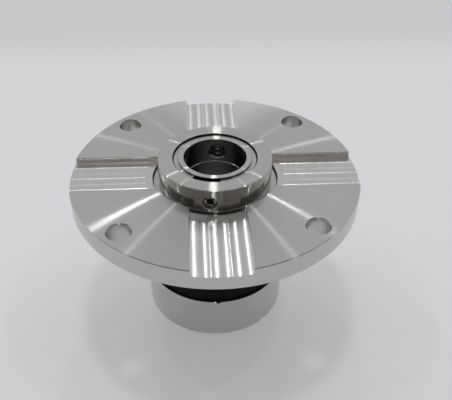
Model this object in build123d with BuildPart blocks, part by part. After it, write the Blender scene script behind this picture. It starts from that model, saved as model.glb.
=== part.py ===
from build123d import *
import os

# Cartridge mechanical seal for a 35 mm pump shaft, all sizes in millimetres.
# The origin lies on the shaft axis at the flange's inboard (pump) face, and +Z points away from the pump.

# --- shared fits and clearances -------------------------------------------------------------------
FIT = 0.02                  # radial play of parts pressed or slid together on one body
RUNNING_GAP = 0.3           # radial play between turning, sliding and still parts
EDGE_BREAK = 0.4            # small chamfer on turned edges
FINE_BREAK = 0.1            # barely broken edges round the sleeve's top
CORD_SIDE_PLAY = 0.3        # a groove is wider than its cord by this much on each side
PIN_END_GAP = 0.5           # room left past the end of a pin
TOOL_OVERRUN = 2.0          # how far a cut runs past the stock

# --- shaft sleeve ---------------------------------------------------------------------------------
SHAFT_R = 17.5
SLEEVE_WALL = 4.5
NECK_STEP = 1.25            # the sleeve is this much smaller under the collar
RELIEF_STEP = 0.3           # the bore's relieved mouth is this much wider
RELIEF_DEPTH = 15.3
FOOT_REACH = 7.0            # the foot stands out from the sleeve's body
FOOT_T = 7.0
SLEEVE_HOLE_R = 4.3
HOLE_BREAK = 0.5            # countersink of the radial holes

# --- gland: flange, slots and spigot --------------------------------------------------------------
FLANGE_R = 82.5
FLANGE_T = 12.0
BOLT_INSET = 10.0           # bolt hole centres from the flange's rim
BOLT_HOLE_R = 6.5
BOLT_COUNT = 4
BOLT_START = 45.0           # azimuth of the first bolt hole, degrees
SLOT_COUNT = 4
SLOT_WIDTH = 31.0
SLOT_DEPTH = 3.5
SLOT_PASSES = 6             # cutter passes side by side across one slot
SCALLOP_RISE = 0.22         # height of the ridge left between two passes
SLOT_LAND_W = 4.0           # turned land between the bore and the slots' inner ends
SLOT_LAND_DROP = 0.15       # the land lies this much below the deepest pass
BORE_FLOOR_DEPTH = 10.0     # shoulder under the bush carrier, below the flange's inboard face
BORE_SHOULDER_W = 6.0
WEB_T = 8.0                 # web between the bore and the seat's pocket
SPIGOT_WALL = 8.0
SPIGOT_LEAD = 1.0

# --- spigot O-ring --------------------------------------------------------------------------------
SPIGOT_CORD_R = 1.5
SPIGOT_CORD_PROUD = 0.5
SPIGOT_GROOVE_BELOW = 7.0   # groove's middle below the flange's inboard face

# --- bush carrier and throttle bush ---------------------------------------------------------------
BUSH_WALL = 5.2
BUSH_TOP_DROP = 1.0         # the bush ends below the carrier's top
CARRIER_WALL = 8.5
CARRIER_DROP = 5.8          # the carrier's top below the flange's outer face
CARRIER_RELIEF = 0.4        # the carrier's upper part is this much smaller than the bore
CARRIER_FIT_L = 10.0        # length of the carrier that is pressed in the bore
CARRIER_LIP_T = 3.0
CARRIER_LIP_GAP = 2.0       # radial room between the lip and the sleeve

# --- drive collar and its set screws --------------------------------------------------------------
COLLAR_WALL = 11.5
COLLAR_H = 15.0
COLLAR_GAP = 0.6            # the collar stands clear of the bush carrier
COLLAR_BEVEL = 0.5
SCREW_COUNT = 4
SCREW_START = -97.3         # azimuth of the first set screw, degrees
SCREW_R = 4.0
SCREW_SINK = 2.0            # the screw's outer end below the collar's side
SCREW_SHAFT_GAP = 0.35      # the screw's point stops short of the sleeve's bore
SCREW_BELOW_TOP = 8.55      # screw axis below the collar's top
SCREW_CUP_R = 2.0
SCREW_CUP_DEPTH = 1.0
SOCKET_FLAT = 4.0           # hexagon socket across flats
SOCKET_DEPTH = 5.0

# --- retaining ring -------------------------------------------------------------------------------
RING_DROP = 1.1             # the ring's top below the collar's top
RING_T = 1.75
RING_BITE = 0.85            # depth of the ring in the sleeve's groove
RING_W = 3.55
RING_ROOM = 0.6             # radial room round the ring in the collar's recess
RING_GAP_AZ = -105.0        # middle of the ring's opening, degrees
RING_GAP_ANGLE = 41.0
RING_GROOVE_PLAY = 0.03

# --- stationary seat ------------------------------------------------------------------------------
SEAT_GAP = 2.5              # radial room between the seat and the sleeve
SEAT_WALL = 12.0
SEAT_PLAY = 0.5             # radial play in the pocket, taken up by the O-ring
SEAT_L = 23.0
SEAT_PROUD = 4.0            # the seat's face stands out past the spigot's end
SEAT_GASKET_T = 1.0
SEAT_GASKET_W = 6.0
SEAT_CORD_R = 1.45
SEAT_CORD_FROM_BACK = 9.0
SEAT_PIN_COUNT = 2
SEAT_PIN_R = 2.0
SEAT_PIN_INSET = 3.0        # pin centres from the seat's outer side
SEAT_PIN_GRIP = 5.0         # length of the pin inside the gland
SEAT_PIN_REACH = 4.0        # length of the pin inside the seat

# --- face ring, its O-ring and thrust ring --------------------------------------------------------
FACE_L = 18.0
FACE_SIDE_GAP = 0.4         # face ring to the holder's shell
FACE_TRAVEL = 2.0           # how far the springs let the face ring go back
NOSE_H = 1.5
NOSE_INSET = 3.0            # the nose's inner edge from the seat's bore
NOSE_W = 6.5
FACE_CORD_R = 1.4
FACE_CORD_FROM_BACK = 5.5
CORD_RUNNING_GAP = 0.05     # the sliding O-ring to the sleeve
THRUST_T = 3.0
THRUST_GAP = 2.0            # radial room between the thrust ring and the sleeve

# --- springs --------------------------------------------------------------------------------------
SPRINGS_PER_PIN = 3         # springs between one drive pin and the next
SPRING_R = 2.9
SPRING_WIRE_R = 0.5
SPRING_TURNS = 5
POCKET_DEPTH = 8.5

# --- spring holder, its pins and screws -----------------------------------------------------------
HOLDER_WALL = 1.0           # shell round the face ring
HOLDER_BASE_T = 12.0
HOLDER_FLOOR_GAP = 5.7      # base to the thrust ring at rest
SHELL_LAP = 7.3             # length of the face ring inside the shell
POCKET_WALL = 1.8           # wall between a spring pocket and the sleeve's foot
POCKET_OUTER_WALL = 4.8     # wall between a spring pocket and the holder's side
RIM_NOTCH_WIDTH = 2.4
RIM_NOTCH_DEPTH = 1.0
DRIVE_PIN_COUNT = 3
DRIVE_START = -90.0         # azimuth of the first drive pin and rim notch, degrees
DRIVE_PIN_R = 2.0
DRIVE_PIN_GRIP = 8.0        # length of the pin inside the holder
DRIVE_PIN_BITE = 3.0        # length of the pin inside the face ring at rest
FOOT_SCREW_COUNT = 3
FOOT_SCREW_INSET = 3.3      # screw centres from the sleeve's body
FOOT_SCREW_R = 1.5
FOOT_SCREW_HEAD_R = 2.75
FOOT_SCREW_HEAD_T = 1.5
FOOT_SCREW_LENGTH = 10.0
FOOT_SOCKET_FLAT = 2.0
FOOT_SOCKET_DEPTH = 1.1

# --- shaft O-ring ---------------------------------------------------------------------------------
SHAFT_CORD_R = 1.0
SHAFT_GROOVE_ABOVE_END = 3.6

# --- radii, from the shaft outwards ---------------------------------------------------------------
relief_r = SHAFT_R + RELIEF_STEP
sleeve_body_r = SHAFT_R + SLEEVE_WALL
sleeve_neck_r = sleeve_body_r - NECK_STEP
ring_in_r = sleeve_neck_r - RING_BITE
ring_out_r = ring_in_r + RING_W
collar_recess_r = ring_out_r + RING_ROOM
collar_r = sleeve_neck_r + COLLAR_WALL
bush_bore_r = sleeve_body_r + RUNNING_GAP
bush_r = bush_bore_r + BUSH_WALL
gland_bore_r = bush_r + CARRIER_WALL
web_bore_r = gland_bore_r - BORE_SHOULDER_W
slot_land_r = gland_bore_r + SLOT_LAND_W
bolt_circle_r = FLANGE_R - BOLT_INSET
seat_bore_r = sleeve_body_r + SEAT_GAP
seat_r = seat_bore_r + SEAT_WALL
seat_pocket_r = seat_r + SEAT_PLAY
seat_pin_circle_r = seat_r - SEAT_PIN_INSET
spigot_r = seat_pocket_r + SPIGOT_WALL
nose_in_r = seat_bore_r + NOSE_INSET
nose_out_r = nose_in_r + NOSE_W
foot_r = sleeve_body_r + FOOT_REACH
foot_screw_circle_r = sleeve_body_r + FOOT_SCREW_INSET
pocket_r = SPRING_R + RUNNING_GAP
drive_circle_r = foot_r + POCKET_WALL + pocket_r
holder_r = drive_circle_r + pocket_r + POCKET_OUTER_WALL
holder_inner_r = holder_r - HOLDER_WALL
face_outer_r = holder_inner_r - FACE_SIDE_GAP
face_inner_r = sleeve_body_r + RUNNING_GAP
thrust_in_r = sleeve_body_r + THRUST_GAP

# --- heights, from the collar down to the holder --------------------------------------------------
slot_floor_z = FLANGE_T - SLOT_DEPTH
land_z = slot_floor_z - SLOT_LAND_DROP
carrier_top_z = FLANGE_T - CARRIER_DROP
bush_top_z = carrier_top_z - BUSH_TOP_DROP
collar_bottom_z = carrier_top_z + COLLAR_GAP
sleeve_top_z = collar_bottom_z + COLLAR_H
screw_z = sleeve_top_z - SCREW_BELOW_TOP
ring_top_z = sleeve_top_z - RING_DROP
ring_bottom_z = ring_top_z - RING_T
relief_z = sleeve_top_z - RELIEF_DEPTH
bore_floor_z = -BORE_FLOOR_DEPTH
carrier_relief_z = bore_floor_z + CARRIER_FIT_L
bush_bottom_z = bore_floor_z + CARRIER_LIP_T
spigot_groove_z = -SPIGOT_GROOVE_BELOW
seat_pocket_z = bore_floor_z - WEB_T
seat_back_z = seat_pocket_z - SEAT_GASKET_T
seat_cord_z = seat_back_z - SEAT_CORD_FROM_BACK
seat_face_z = seat_back_z - SEAT_L
spigot_end_z = seat_face_z + SEAT_PROUD
nose_base_z = seat_face_z - NOSE_H
face_back_z = seat_face_z - FACE_L
face_cord_z = face_back_z + FACE_CORD_FROM_BACK
thrust_bottom_z = face_back_z - THRUST_T
holder_top_z = face_back_z + SHELL_LAP
holder_floor_z = thrust_bottom_z - HOLDER_FLOOR_GAP
holder_bottom_z = holder_floor_z - HOLDER_BASE_T
pocket_floor_z = holder_floor_z - POCKET_DEPTH
foot_top_z = holder_bottom_z + FOOT_T
drive_pin_bottom_z = holder_floor_z - DRIVE_PIN_GRIP
drive_pin_top_z = face_back_z + DRIVE_PIN_BITE
drive_pin_hole_top_z = drive_pin_top_z + FACE_TRAVEL + PIN_END_GAP
shaft_groove_z = holder_bottom_z + SHAFT_GROOVE_ABOVE_END

# --- azimuths, degrees ----------------------------------------------------------------------------
drive_step = 360 / DRIVE_PIN_COUNT
spring_step = drive_step / (SPRINGS_PER_PIN + 1)
drive_angles = [DRIVE_START + drive_step * i for i in range(DRIVE_PIN_COUNT)]
spring_angles = [a + spring_step * k for a in drive_angles for k in range(1, SPRINGS_PER_PIN + 1)]
foot_angles = [DRIVE_START + 360 / FOOT_SCREW_COUNT * (i + 0.5) for i in range(FOOT_SCREW_COUNT)]
screw_angles = [SCREW_START + 360 / SCREW_COUNT * i for i in range(SCREW_COUNT)]
seat_pin_angles = [360 / SEAT_PIN_COUNT * i for i in range(SEAT_PIN_COUNT)]


def spots(radius, angles):
    """Places on a circle about the shaft axis, one for each angle."""
    return [Location((0, 0, 0), (0, 0, a)) * Location((radius, 0, 0)) for a in angles]


def radial_plane(angle, distance, z):
    """Plane at a distance from the axis, whose normal points outwards at that azimuth."""
    x_dir = Vector(0, 1, 0).rotate(Axis.Z, angle)
    outward = Vector(1, 0, 0).rotate(Axis.Z, angle)
    return Plane(origin=outward * distance + Vector(0, 0, z), x_dir=x_dir, z_dir=outward)


def revolved(points):
    """Turned solid from a closed outline of (radius, z) points."""
    with BuildPart() as turned:
        with BuildSketch(Plane.XZ):
            with BuildLine():
                Polyline(*points, close=True)
            make_face()
        revolve(axis=Axis.Z)
    return turned


def cord_ring(ring_r, cord_r, z):
    """O-ring: a round cord bent into a circle about the shaft axis."""
    with BuildPart() as ring:
        with BuildSketch(Plane.XZ):
            with Locations((ring_r, z)):
                Circle(cord_r)
        revolve(axis=Axis.Z)
    return ring


def save(part, name):
    part.label = name
    export_step(part, f"parts/{name}.step")


os.makedirs("parts", exist_ok=True)

# --- slot cutter: six shallow passes side by side, and the turned land at the inner end -----------
pass_width = SLOT_WIDTH / SLOT_PASSES
cutter_top_z = FLANGE_T + TOOL_OVERRUN
cutter_start = web_bore_r
with BuildPart() as slot_cutter:
    with BuildSketch(Plane.YZ.offset(cutter_start)):
        with BuildLine():
            for i in range(SLOT_PASSES):
                y = -SLOT_WIDTH / 2 + pass_width * i
                ThreePointArc((y, slot_floor_z + SCALLOP_RISE), (y + pass_width / 2, slot_floor_z),
                              (y + pass_width, slot_floor_z + SCALLOP_RISE))
            Polyline((SLOT_WIDTH / 2, slot_floor_z + SCALLOP_RISE), (SLOT_WIDTH / 2, cutter_top_z),
                     (-SLOT_WIDTH / 2, cutter_top_z), (-SLOT_WIDTH / 2, slot_floor_z + SCALLOP_RISE))
        make_face()
    extrude(amount=FLANGE_R + TOOL_OVERRUN - cutter_start)
    with BuildSketch(Plane.XY.offset(land_z)):
        Circle(slot_land_r)
        with Locations((cutter_start + slot_land_r / 2, 0)):
            Rectangle(slot_land_r, SLOT_WIDTH, mode=Mode.INTERSECT)
    extrude(amount=cutter_top_z - land_z)

# --- gland plate ----------------------------------------------------------------------------------
spigot_groove_half = SPIGOT_CORD_R + CORD_SIDE_PLAY
spigot_groove_r = spigot_r + SPIGOT_CORD_PROUD - 2 * SPIGOT_CORD_R - FIT
with BuildPart() as gland_plate:
    add(revolved([
        (web_bore_r, seat_pocket_z), (web_bore_r, bore_floor_z), (gland_bore_r, bore_floor_z),
        (gland_bore_r, FLANGE_T), (FLANGE_R, FLANGE_T), (FLANGE_R, EDGE_BREAK), (FLANGE_R - EDGE_BREAK, 0),
        (spigot_r, 0), (spigot_r, spigot_groove_z + spigot_groove_half),
        (spigot_groove_r, spigot_groove_z + spigot_groove_half),
        (spigot_groove_r, spigot_groove_z - spigot_groove_half),
        (spigot_r, spigot_groove_z - spigot_groove_half), (spigot_r, spigot_end_z + SPIGOT_LEAD),
        (spigot_r - SPIGOT_LEAD, spigot_end_z), (seat_pocket_r + SPIGOT_LEAD, spigot_end_z),
        (seat_pocket_r, spigot_end_z + SPIGOT_LEAD), (seat_pocket_r, seat_pocket_z),
    ]).part)
    with PolarLocations(0, SLOT_COUNT):
        add(slot_cutter.part, mode=Mode.SUBTRACT)
    with Locations((0, 0, FLANGE_T)):
        with PolarLocations(bolt_circle_r, BOLT_COUNT, start_angle=BOLT_START):
            Hole(BOLT_HOLE_R, depth=FLANGE_T)
    top_faces = gland_plate.faces().filter_by(Axis.Z).group_by(Axis.Z)[-1]
    chamfer(top_faces.edges(), length=EDGE_BREAK)
    with Locations((0, 0, seat_pocket_z)):
        with Locations(spots(seat_pin_circle_r, seat_pin_angles)):
            Cylinder(SEAT_PIN_R + FIT, SEAT_PIN_GRIP + PIN_END_GAP,
                     align=(Align.CENTER, Align.CENTER, Align.MIN), mode=Mode.SUBTRACT)
save(gland_plate.part, "gland_plate")

# --- O-ring round the spigot ----------------------------------------------------------------------
spigot_o_ring = cord_ring(spigot_r + SPIGOT_CORD_PROUD - SPIGOT_CORD_R, SPIGOT_CORD_R, spigot_groove_z)
save(spigot_o_ring.part, "spigot_o_ring")

# --- bush carrier: pressed in the bore, its upper part relieved -----------------------------------
carrier_fit_r = gland_bore_r - FIT
carrier_top_r = gland_bore_r - CARRIER_RELIEF
carrier_lip_r = sleeve_body_r + CARRIER_LIP_GAP
bush_carrier = revolved([
    (carrier_lip_r, bore_floor_z), (carrier_fit_r, bore_floor_z), (carrier_fit_r, carrier_relief_z),
    (carrier_top_r, carrier_relief_z), (carrier_top_r, carrier_top_z), (bush_r + FIT, carrier_top_z),
    (bush_r + FIT, bush_bottom_z), (carrier_lip_r, bush_bottom_z),
])
save(bush_carrier.part, "bush_carrier")

# --- throttle bush --------------------------------------------------------------------------------
throttle_bush = revolved([
    (bush_bore_r, bush_bottom_z), (bush_r, bush_bottom_z), (bush_r, bush_top_z), (bush_bore_r, bush_top_z),
])
save(throttle_bush.part, "throttle_bush")

# --- seat ring: still face, held by an O-ring and two pins ----------------------------------------
seat_groove_half = SEAT_CORD_R + CORD_SIDE_PLAY
seat_groove_r = seat_pocket_r - 2 * SEAT_CORD_R - 2 * FIT
with BuildPart() as seat_ring:
    add(revolved([
        (seat_bore_r, seat_face_z), (seat_r - EDGE_BREAK, seat_face_z), (seat_r, seat_face_z + EDGE_BREAK),
        (seat_r, seat_cord_z - seat_groove_half), (seat_groove_r, seat_cord_z - seat_groove_half),
        (seat_groove_r, seat_cord_z + seat_groove_half), (seat_r, seat_cord_z + seat_groove_half),
        (seat_r, seat_back_z), (seat_bore_r, seat_back_z),
    ]).part)
    with Locations((0, 0, seat_back_z)):
        with Locations(spots(seat_pin_circle_r, seat_pin_angles)):
            Cylinder(SEAT_PIN_R + RUNNING_GAP, SEAT_PIN_REACH + PIN_END_GAP,
                     align=(Align.CENTER, Align.CENTER, Align.MAX), mode=Mode.SUBTRACT)
save(seat_ring.part, "seat_ring")

seat_o_ring = cord_ring(seat_pocket_r - SEAT_CORD_R - FIT, SEAT_CORD_R, seat_cord_z)
save(seat_o_ring.part, "seat_o_ring")

# --- gasket behind the seat, with clearance holes for the pins ------------------------------------
with BuildPart() as seat_gasket:
    with BuildSketch(Plane.XY.offset(seat_back_z)):
        Circle(seat_r)
        Circle(seat_r - SEAT_GASKET_W, mode=Mode.SUBTRACT)
        with Locations(spots(seat_pin_circle_r, seat_pin_angles)):
            Circle(SEAT_PIN_R + RUNNING_GAP, mode=Mode.SUBTRACT)
    extrude(amount=SEAT_GASKET_T)
save(seat_gasket.part, "seat_gasket")

with BuildPart() as seat_pins:
    with BuildSketch(Plane.XY.offset(seat_back_z - SEAT_PIN_REACH)):
        with Locations(spots(seat_pin_circle_r, seat_pin_angles)):
            Circle(SEAT_PIN_R)
    extrude(amount=SEAT_PIN_REACH + SEAT_GASKET_T + SEAT_PIN_GRIP)
save(seat_pins.part, "seat_pins")

# --- shaft sleeve ---------------------------------------------------------------------------------
groove_top_z = ring_top_z + RING_GROOVE_PLAY
groove_bottom_z = ring_bottom_z
groove_r = ring_in_r - FIT
shaft_groove_half = SHAFT_CORD_R + CORD_SIDE_PLAY
shaft_groove_r = SHAFT_R + 2 * SHAFT_CORD_R + 2 * FIT
with BuildPart() as shaft_sleeve:
    add(revolved([
        (SHAFT_R, holder_bottom_z), (foot_r - EDGE_BREAK, holder_bottom_z),
        (foot_r, holder_bottom_z + EDGE_BREAK), (foot_r, foot_top_z), (sleeve_body_r, foot_top_z),
        (sleeve_body_r, collar_bottom_z), (sleeve_neck_r, collar_bottom_z),
        (sleeve_neck_r, groove_bottom_z),
        (groove_r, groove_bottom_z), (groove_r, groove_top_z), (sleeve_neck_r, groove_top_z),
        (sleeve_neck_r, sleeve_top_z - FINE_BREAK), (sleeve_neck_r - FINE_BREAK, sleeve_top_z),
        (relief_r + FINE_BREAK, sleeve_top_z), (relief_r, sleeve_top_z - FINE_BREAK), (relief_r, relief_z),
        (SHAFT_R, relief_z), (SHAFT_R, shaft_groove_z + shaft_groove_half),
        (shaft_groove_r, shaft_groove_z + shaft_groove_half),
        (shaft_groove_r, shaft_groove_z - shaft_groove_half),
        (SHAFT_R, shaft_groove_z - shaft_groove_half),
    ]).part)
    for angle in screw_angles:
        with BuildSketch(radial_plane(angle, 0, screw_z)):
            Circle(SLEEVE_HOLE_R)
        extrude(amount=sleeve_body_r + TOOL_OVERRUN, mode=Mode.SUBTRACT)
        with BuildSketch(radial_plane(angle, relief_r - TOOL_OVERRUN, screw_z)):
            Circle(SLEEVE_HOLE_R + HOLE_BREAK + TOOL_OVERRUN)
        extrude(amount=HOLE_BREAK + TOOL_OVERRUN, taper=45, mode=Mode.SUBTRACT)
    with Locations(Plane.XY.offset(holder_bottom_z).reverse()):
        with Locations(spots(foot_screw_circle_r, [-a for a in foot_angles])):
            CounterBoreHole(FOOT_SCREW_R + FIT, FOOT_SCREW_HEAD_R + FIT, FOOT_SCREW_HEAD_T, depth=FOOT_T)
save(shaft_sleeve.part, "shaft_sleeve")

shaft_o_ring = cord_ring(SHAFT_R + FIT + SHAFT_CORD_R, SHAFT_CORD_R, shaft_groove_z)
save(shaft_o_ring.part, "shaft_o_ring")

# --- drive collar ---------------------------------------------------------------------------------
with BuildPart() as drive_collar:
    add(revolved([
        (sleeve_neck_r + FIT, collar_bottom_z), (collar_r - COLLAR_BEVEL, collar_bottom_z),
        (collar_r, collar_bottom_z + COLLAR_BEVEL), (collar_r, sleeve_top_z - COLLAR_BEVEL),
        (collar_r - COLLAR_BEVEL, sleeve_top_z), (collar_recess_r + FINE_BREAK, sleeve_top_z),
        (collar_recess_r, sleeve_top_z - FINE_BREAK), (collar_recess_r, ring_bottom_z),
        (sleeve_neck_r + FIT, ring_bottom_z),
    ]).part)
    for angle in screw_angles:
        with BuildSketch(radial_plane(angle, 0, screw_z)):
            Circle(SCREW_R + FIT)
        extrude(amount=collar_r + TOOL_OVERRUN, mode=Mode.SUBTRACT)
        with BuildSketch(radial_plane(angle, collar_r - HOLE_BREAK, screw_z)):
            Circle(SCREW_R + FIT)
        extrude(amount=HOLE_BREAK + TOOL_OVERRUN, taper=-45, mode=Mode.SUBTRACT)
save(drive_collar.part, "drive_collar")

# --- set screws: hexagon socket at the outer end, cup point at the inner one ----------------------
screw_outer = collar_r - SCREW_SINK
screw_inner = relief_r + SCREW_SHAFT_GAP
with BuildPart() as one_screw:
    with BuildSketch(Plane.XZ):
        with BuildLine():
            Polyline((screw_inner + SCREW_CUP_DEPTH, screw_z), (screw_inner, screw_z + SCREW_CUP_R),
                     (screw_inner, screw_z + SCREW_R - EDGE_BREAK),
                     (screw_inner + EDGE_BREAK, screw_z + SCREW_R), (screw_outer, screw_z + SCREW_R),
                     (screw_outer, screw_z), close=True)
        make_face()
    revolve(axis=Axis((0, 0, screw_z), (1, 0, 0)))
    with BuildSketch(radial_plane(0, screw_outer - SOCKET_DEPTH, screw_z)):
        RegularPolygon(SOCKET_FLAT / 2, 6, major_radius=False)
    extrude(amount=SOCKET_DEPTH, mode=Mode.SUBTRACT)
with BuildPart() as set_screws:
    with PolarLocations(0, SCREW_COUNT, start_angle=SCREW_START):
        add(one_screw.part)
save(set_screws.part, "set_screws")

# --- retaining ring: a flat open ring in the sleeve's groove --------------------------------------
gap_reach = 2 * ring_out_r
gap_edges = [RING_GAP_AZ - RING_GAP_ANGLE / 2, RING_GAP_AZ + RING_GAP_ANGLE / 2]
gap_corners = [Vector(gap_reach, 0, 0).rotate(Axis.Z, a) for a in gap_edges]
with BuildPart() as retaining_ring:
    with BuildSketch(Plane.XY.offset(ring_bottom_z)):
        Circle(ring_out_r)
        Circle(ring_in_r, mode=Mode.SUBTRACT)
        with BuildLine():
            Polyline((0, 0), gap_corners[0], gap_corners[1], close=True)
        make_face(mode=Mode.SUBTRACT)
    extrude(amount=RING_T)
save(retaining_ring.part, "retaining_ring")

# --- spring holder: thin shell over a thick base with spring pockets ------------------------------
with BuildPart() as spring_holder:
    add(revolved([
        (sleeve_body_r + FIT, holder_floor_z), (sleeve_body_r + FIT, foot_top_z),
        (foot_r + FIT, foot_top_z), (foot_r + FIT, holder_bottom_z), (holder_r - EDGE_BREAK, holder_bottom_z),
        (holder_r, holder_bottom_z + EDGE_BREAK), (holder_r, holder_top_z), (holder_inner_r, holder_top_z),
        (holder_inner_r, holder_floor_z),
    ]).part)
    with Locations((0, 0, holder_floor_z)):
        with Locations(spots(drive_circle_r, spring_angles)):
            Cylinder(pocket_r, POCKET_DEPTH,
                     align=(Align.CENTER, Align.CENTER, Align.MAX), mode=Mode.SUBTRACT)
        with Locations(spots(drive_circle_r, drive_angles)):
            Cylinder(DRIVE_PIN_R + FIT, DRIVE_PIN_GRIP,
                     align=(Align.CENTER, Align.CENTER, Align.MAX), mode=Mode.SUBTRACT)
    with Locations((0, 0, holder_top_z)):
        with Locations(spots(holder_r, drive_angles)):
            Box(2 * (HOLDER_WALL + TOOL_OVERRUN), RIM_NOTCH_WIDTH, 2 * RIM_NOTCH_DEPTH, mode=Mode.SUBTRACT)
    with Locations((0, 0, foot_top_z)):
        with Locations(spots(foot_screw_circle_r, foot_angles)):
            Cylinder(FOOT_SCREW_R + FIT, HOLDER_BASE_T - FOOT_T,
                     align=(Align.CENTER, Align.CENTER, Align.MIN), mode=Mode.SUBTRACT)
save(spring_holder.part, "spring_holder")

# --- drive pins: pressed in the holder, the face ring slides on them ------------------------------
with BuildPart() as drive_pins:
    with BuildSketch(Plane.XY.offset(drive_pin_bottom_z)):
        with Locations(spots(drive_circle_r, drive_angles)):
            Circle(DRIVE_PIN_R)
    extrude(amount=drive_pin_top_z - drive_pin_bottom_z)
save(drive_pins.part, "drive_pins")

# --- screws that hold the holder to the sleeve's foot ---------------------------------------------
with BuildPart() as foot_screws:
    with BuildSketch(Plane.XY.offset(holder_bottom_z)):
        with Locations(spots(foot_screw_circle_r, foot_angles)):
            Circle(FOOT_SCREW_HEAD_R)
    extrude(amount=FOOT_SCREW_HEAD_T)
    with BuildSketch(Plane.XY.offset(holder_bottom_z + FOOT_SCREW_HEAD_T)):
        with Locations(spots(foot_screw_circle_r, foot_angles)):
            Circle(FOOT_SCREW_R)
    extrude(amount=FOOT_SCREW_LENGTH - FOOT_SCREW_HEAD_T)
    with BuildSketch(Plane.XY.offset(holder_bottom_z)):
        with Locations(spots(foot_screw_circle_r, foot_angles)):
            RegularPolygon(FOOT_SOCKET_FLAT / 2, 6, major_radius=False)
    extrude(amount=FOOT_SOCKET_DEPTH, mode=Mode.SUBTRACT)
save(foot_screws.part, "foot_screws")

# --- face ring ------------------------------------------------------------------------------------
face_groove_half = FACE_CORD_R + CORD_SIDE_PLAY
face_groove_r = sleeve_body_r + CORD_RUNNING_GAP + 2 * FACE_CORD_R + FIT
with BuildPart() as face_ring:
    add(revolved([
        (face_inner_r, face_back_z), (face_outer_r, face_back_z), (face_outer_r, nose_base_z),
        (nose_out_r, nose_base_z), (nose_out_r, seat_face_z), (nose_in_r, seat_face_z),
        (nose_in_r, nose_base_z), (face_inner_r, nose_base_z),
        (face_inner_r, face_cord_z + face_groove_half), (face_groove_r, face_cord_z + face_groove_half),
        (face_groove_r, face_cord_z - face_groove_half), (face_inner_r, face_cord_z - face_groove_half),
    ]).part)
    with Locations((0, 0, face_back_z)):
        with Locations(spots(drive_circle_r, drive_angles)):
            Cylinder(DRIVE_PIN_R + RUNNING_GAP, drive_pin_hole_top_z - face_back_z,
                     align=(Align.CENTER, Align.CENTER, Align.MIN), mode=Mode.SUBTRACT)
save(face_ring.part, "face_ring")

face_o_ring = cord_ring(sleeve_body_r + CORD_RUNNING_GAP + FACE_CORD_R, FACE_CORD_R, face_cord_z)
save(face_o_ring.part, "face_o_ring")

# --- thrust ring between the springs and the face ring --------------------------------------------
with BuildPart() as thrust_ring:
    with BuildSketch(Plane.XY.offset(thrust_bottom_z)):
        Circle(face_outer_r)
        Circle(thrust_in_r, mode=Mode.SUBTRACT)
        with Locations(spots(drive_circle_r, drive_angles)):
            Circle(DRIVE_PIN_R + RUNNING_GAP, mode=Mode.SUBTRACT)
    extrude(amount=THRUST_T)
save(thrust_ring.part, "thrust_ring")

# --- coil springs ---------------------------------------------------------------------------------
coil_r = SPRING_R - SPRING_WIRE_R
coil_start_z = pocket_floor_z + SPRING_WIRE_R
coil_height = thrust_bottom_z - SPRING_WIRE_R - coil_start_z
with BuildPart() as one_spring:
    with BuildLine(Plane.XY.offset(coil_start_z)) as wire:
        Helix(pitch=coil_height / SPRING_TURNS, height=coil_height, radius=coil_r)
    with BuildSketch(Plane(origin=wire.line @ 0, z_dir=wire.line % 0)):
        Circle(SPRING_WIRE_R)
    sweep(is_frenet=True)
with BuildPart() as springs:
    with Locations(spots(drive_circle_r, spring_angles)):
        add(one_spring.part)
save(springs.part, "springs")
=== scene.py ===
import math

import bpy
from mathutils import Matrix, Vector

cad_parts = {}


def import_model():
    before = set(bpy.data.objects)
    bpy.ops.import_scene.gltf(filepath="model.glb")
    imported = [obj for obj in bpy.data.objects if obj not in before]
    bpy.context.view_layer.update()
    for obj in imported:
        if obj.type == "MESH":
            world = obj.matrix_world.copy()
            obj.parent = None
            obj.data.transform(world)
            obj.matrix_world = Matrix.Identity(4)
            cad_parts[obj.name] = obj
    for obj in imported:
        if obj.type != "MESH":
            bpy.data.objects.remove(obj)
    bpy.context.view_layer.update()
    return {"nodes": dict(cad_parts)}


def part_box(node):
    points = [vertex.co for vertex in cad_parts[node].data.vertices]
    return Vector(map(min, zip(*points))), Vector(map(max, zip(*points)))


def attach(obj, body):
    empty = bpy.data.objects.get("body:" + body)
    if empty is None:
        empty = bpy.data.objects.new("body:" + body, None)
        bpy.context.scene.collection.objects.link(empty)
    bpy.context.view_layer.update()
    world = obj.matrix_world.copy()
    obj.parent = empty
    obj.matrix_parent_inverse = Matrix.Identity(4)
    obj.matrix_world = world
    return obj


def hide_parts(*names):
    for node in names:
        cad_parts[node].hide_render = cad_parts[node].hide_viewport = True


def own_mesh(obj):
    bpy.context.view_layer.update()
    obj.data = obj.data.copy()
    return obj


# Cartridge mechanical seal standing on its spring holder. Lengths are in millimetres in the tables and
# outlines below and become metres at the operators. The shaft axis is Z, and Z = 0 is the flange's
# inboard face.

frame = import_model()
bpy.ops.object.select_all(action="DESELECT")

MM = 0.001
FULL_TURN = 2 * math.pi
WELD = 0.002                # points closer than this are one point
SLIVER = 0.0002             # and edges shorter than this go
SMOOTH_LIMIT = math.radians(12)

FLANGE_STEPS = 360          # facets round the flange
TURNED_STEPS = 240          # round the smaller turned pieces
BOLT_STEPS = 96             # round a bolt hole
DRILL_STEPS = 64            # round a screw hole
PIN_STEPS = 48              # round a screw or a hole along the shaft
THREAD_STEPS = 36           # in one turn of a thread
COIL_STEPS = 24             # in one turn of a spring
WIRE_STEPS = 10             # round a spring's wire
CORD_RING_STEPS = 180       # round an O-ring
CORD_STEPS = 24             # and round its cord

QUARTERS = (0, 90, 180, 270)


# ---------------------------------------------------------------------------------------------------
# Workshop: drawing, turning, cutting and copying
# ---------------------------------------------------------------------------------------------------

def pick(piece):
    """Makes one piece the only selected and the active one."""
    bpy.ops.object.select_all(action="DESELECT")
    piece.select_set(True)
    bpy.context.view_layer.objects.active = piece


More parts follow.
